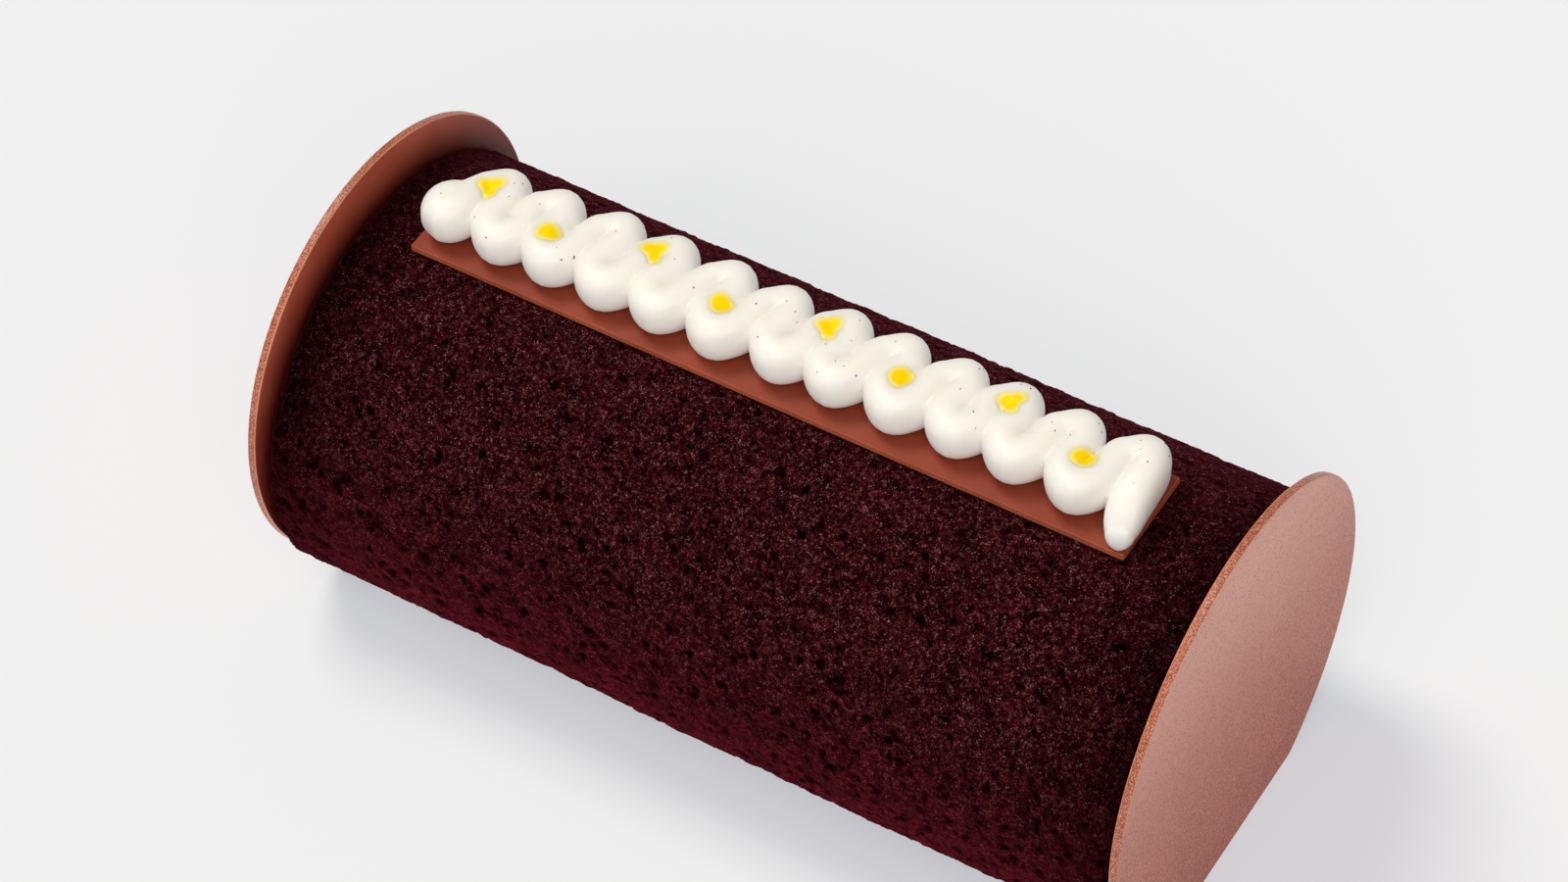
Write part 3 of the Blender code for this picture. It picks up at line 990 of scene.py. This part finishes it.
def gel_spots():
    """Gel spots as centre and side: every third bend has one, by turns at the back and in front."""
    back, front = bend_centres()
    in_order = []
    for i, (x, y) in enumerate(back):
        in_order.append((x + BACK_GEL_SHIFT[0], y + BACK_GEL_SHIFT[1], "back"))
        if i < len(front):
            x, y = front[i]
            in_order.append((x + FRONT_GEL_SHIFT[0], y + FRONT_GEL_SHIFT[1], "front"))
    spots = []
    for (x, y, side), (dx, dy) in zip(in_order[::GEL_BENDS], GEL_DRIFT):
        spots.append((x + dx * MILLIMETRE, y + dy * MILLIMETRE, side))
    return spots


def gel_reach(angle, side, number):
    """How far a spot reaches at an angle: round in front, and like a hook at the back."""
    wave = 1.0 + 0.06 * math.sin(2 * angle + number) + 0.04 * math.sin(3 * angle + 2.3 * number)
    if side == "front":
        return GEL_RADIUS * wave
    corners = HOOK_CORNERS * math.cos(3 * (angle - math.radians(HOOK_TURN)))
    turned = math.atan2(math.sin(angle), math.cos(angle))
    dent = HOOK_DENT * math.exp(-((turned / HOOK_DENT_WIDTH) ** 2))
    return GEL_RADIUS * (HOOK_SCALE + corners - dent) * wave


def pooled_height(tree, x, y):
    """Height of gel over the cream, which fills creases and thins out over ridges, and the cream's own."""
    level = []
    for step in range(POOL_SAMPLES):
        angle = 2 * math.pi * step / POOL_SAMPLES
        place, _ = surface_below(tree, x + POOL_REACH * math.cos(angle), y + POOL_REACH * math.sin(angle))
        level.append(place.z)
    own, _ = surface_below(tree, x, y)
    pooled = (1.0 - POOL_SHARE) * own.z + POOL_SHARE * sum(level) / len(level)
    return max(own.z, pooled), own.z


def gel_height(tree, x, y, share, upper):
    """Height of a spot's upper or lower skin at a place, whose share of the way to the rim is given."""
    pooled, own = pooled_height(tree, x, y)
    if not upper:
        return own - GEL_UNDERSIDE
    skin = GEL_SKIN * (1.0 - share ** 3) - GEL_RIM_SINK * share ** 6
    return own + (pooled - own) * (1.0 - share ** 4) + skin


def gel_layer(tree, spot, number, upper):
    """One skin of a spot, ring by ring and then its middle, with how far inside each point is."""
    cx, cy, side = spot
    points = []
    inside = []
    for ring in range(1, GEL_RINGS + 1):
        share = ring / GEL_RINGS
        for k in range(GEL_SIDES):
            angle = 2 * math.pi * k / GEL_SIDES
            reach = gel_reach(angle, side, number) * share
            x = cx + reach * math.cos(angle)
            y = cy + reach * math.sin(angle)
            points.append((x, y, gel_height(tree, x, y, share, upper)))
            inside.append(1.0 - share)
    points.append((cx, cy, gel_height(tree, cx, cy, 0.0, upper)))
    inside.append(1.0)
    return points, inside


def gel_faces(first):
    """Faces of the spot whose points start at first: two skins, each closed at its middle, and the rim."""
    hub = first + GEL_RINGS * GEL_SIDES
    layer = hub + 1 - first
    rim = hub - GEL_SIDES
    faces = []
    for k in range(GEL_SIDES):
        j = (k + 1) % GEL_SIDES
        for a in range(first, rim, GEL_SIDES):
            b = a + GEL_SIDES
            faces.append((a + k, b + k, b + j, a + j))
            faces.append((a + layer + j, b + layer + j, b + layer + k, a + layer + k))
        faces.append((hub, first + k, first + j))
        faces.append((hub + layer, first + layer + j, first + layer + k))
        faces.append((rim + k, rim + layer + k, rim + layer + j, rim + j))
    return faces


def make_gel(tree, surface):
    """Thin pools of gel that lie in the cream, sunk into it at their rims."""
    points = []
    faces = []
    inside = []
    for number, spot in enumerate(gel_spots()):
        faces += gel_faces(len(points))
        for upper in (True, False):
            layer_points, layer_inside = gel_layer(tree, spot, number, upper)
            points += layer_points
            inside += layer_inside
    mesh = bpy.data.meshes.new("lemon_gel")
    mesh.from_pydata(points, [], faces)
    mesh.update()
    mesh.shade_smooth()
    set_attribute(mesh, "inside", inside)
    link_piece("lemon_gel", mesh, [surface], "lemon_gel", "piped_cream")


def tint_cream(mesh):
    """How yellow the cream is just outside each gel spot."""
    places = np.zeros(len(mesh.vertices) * 3)
    mesh.vertices.foreach_get("co", places)
    places = places.reshape(-1, 3)
    high = places[:, 2] > plaque_top() + BLEED_LOWEST
    bleed = np.zeros(len(places))
    for number, (cx, cy, side) in enumerate(gel_spots()):
        near = np.hypot(places[:, 0] - cx, places[:, 1] - cy) < GEL_RADIUS * BLEED_SEARCH
        for i in np.nonzero(near & high)[0]:
            dx = places[i, 0] - cx
            dy = places[i, 1] - cy
            reach = gel_reach(math.atan2(dy, dx), side, number)
            beyond = (math.hypot(dx, dy) - reach) / BLEED_REACH
            bleed[i] = max(bleed[i], BLEED_STRENGTH * min(1.0, max(0.0, 1.0 - beyond)) ** 2)
    set_attribute(mesh, "gel_bleed", bleed)


def make_seeds(tree, surface):
    """Vanilla seeds scattered over the cream, half sunk in it."""
    rng = random.Random(SEED_SEED)
    spots = gel_spots()
    bm = bmesh.new()
    made = 0
    while made < SEED_COUNT:
        x = rng.uniform(START_CURL[1][0] - SEED_MARGIN_X, TAIL_STATIONS[0][0] + SEED_MARGIN_X)
        y = rng.uniform(*SEED_RANGE_Y)
        place, normal = surface_below(tree, x, y)
        if place is None or place.z < plaque_top() + SEED_LOWEST:
            continue
        if any(math.hypot(x - cx, y - cy) < GEL_RADIUS for cx, cy, _ in spots):
            continue
        size = SEED_LENGTH * rng.uniform(*SEED_SIZES)
        ball = bmesh.ops.create_icosphere(bm, subdivisions=1, radius=size / 2)
        turn = Matrix.Rotation(rng.uniform(0.0, math.pi), 3, "Z")
        tilt = normal.to_track_quat("Z", "Y").to_matrix()
        flatten = Matrix.Diagonal(SEED_FLATNESS)
        for vertex in ball["verts"]:
            vertex.co = place + tilt @ turn @ flatten @ vertex.co + normal * SEED_PROUD
        made += 1
    mesh = bpy.data.meshes.new("vanilla_seeds")
    bm.to_mesh(mesh)
    bm.free()
    mesh.shade_smooth()
    link_piece("vanilla_seeds", mesh, [surface], "vanilla", "piped_cream")


def make_camera():
    """The photograph's viewpoint."""
    azimuth = math.radians(CAMERA_AZIMUTH)
    elevation = math.radians(CAMERA_ELEVATION)
    roll = math.radians(CAMERA_ROLL)
    level = math.cos(elevation)
    back = Vector((math.sin(azimuth) * level, -math.cos(azimuth) * level, math.sin(elevation)))
    right = Vector((math.cos(azimuth), math.sin(azimuth), 0.0))
    up = back.cross(right)
    right, up = right * math.cos(roll) + up * math.sin(roll), up * math.cos(roll) - right * math.sin(roll)
    data = bpy.data.cameras.new("camera")
    data.lens = CAMERA_LENS_MM
    data.sensor_width = SENSOR_MM
    data.clip_start = NEAREST_SEEN
    data.clip_end = FARTHEST_SEEN
    made = bpy.data.objects.new("camera", data)
    turned = Matrix((right, up, back)).transposed().to_4x4()
    made.matrix_world = Matrix.Translation(CAMERA_AIM + back * CAMERA_DISTANCE) @ turned
    bpy.context.scene.collection.objects.link(made)
    bpy.context.scene.camera = made


def make_floor():
    """A wide plain floor."""
    mesh = bpy.data.meshes.new("floor")
    reach = FLOOR_REACH
    corners = [(-reach, -reach, 0.0), (reach, -reach, 0.0), (reach, reach, 0.0), (-reach, reach, 0.0)]
    mesh.from_pydata(corners, [], [(0, 1, 2, 3)])
    surface, _, shader = new_material("floor_paper")
    set_shader(shader, Base_Color=(*FLOOR_COLOUR, 1.0), Roughness=0.9, Specular_IOR_Level=0.0)
    set_shader(shader, Emission_Color=(*FLOOR_GLOW_COLOUR, 1.0), Emission_Strength=FLOOR_GLOW)
    mesh.materials.append(surface)
    made = bpy.data.objects.new("floor", mesh)
    bpy.context.scene.collection.objects.link(made)


def add_sun(name, azimuth, elevation, strength, spread, colour):
    """A soft distant light that comes from a compass direction and height, in degrees."""
    data = bpy.data.lights.new(name, "SUN")
    data.energy = strength
    data.angle = math.radians(spread)
    data.color = colour
    made = bpy.data.objects.new(name, data)
    a = math.radians(azimuth)
    e = math.radians(elevation)
    source = Vector((math.sin(a) * math.cos(e), -math.cos(a) * math.cos(e), math.sin(e)))
    made.rotation_mode = "QUATERNION"
    made.rotation_quaternion = source.to_track_quat("Z", "Y")
    bpy.context.scene.collection.objects.link(made)


def make_light():
    """An even pale room, lit from the left, from above the viewer and by the room itself."""
    world = bpy.data.worlds.new("room")
    world.use_nodes = True
    ground = world.node_tree.nodes["Background"]
    ground.inputs["Color"].default_value = (*ROOM_COLOUR, 1.0)
    ground.inputs["Strength"].default_value = ROOM_STRENGTH
    bpy.context.scene.world = world
    add_sun("key", *KEY_SUN)
    add_sun("fill", *FILL_SUN)
    bpy.context.scene.view_settings.view_transform = "Standard"


def main():
    """The whole scene: camera, floor and light, then the cake from its body to its topping."""
    make_camera()
    make_floor()
    make_light()
    make_sponge(sponge_material())
    discs = disc_surfaces()
    make_disc("end_disc_left", -LOG_LENGTH / 2, -1, discs)
    make_disc("end_disc_right", LOG_LENGTH / 2, 1, discs)
    make_plaque(plaque_surfaces())
    mesh = cream_mesh()
    tree = surface_tree(mesh)
    tint_cream(mesh)
    link_piece("whipped_cream", mesh, [cream_material()], "cream", "piped_cream")
    make_gel(tree, gel_material())
    make_seeds(tree, seed_material())


main()
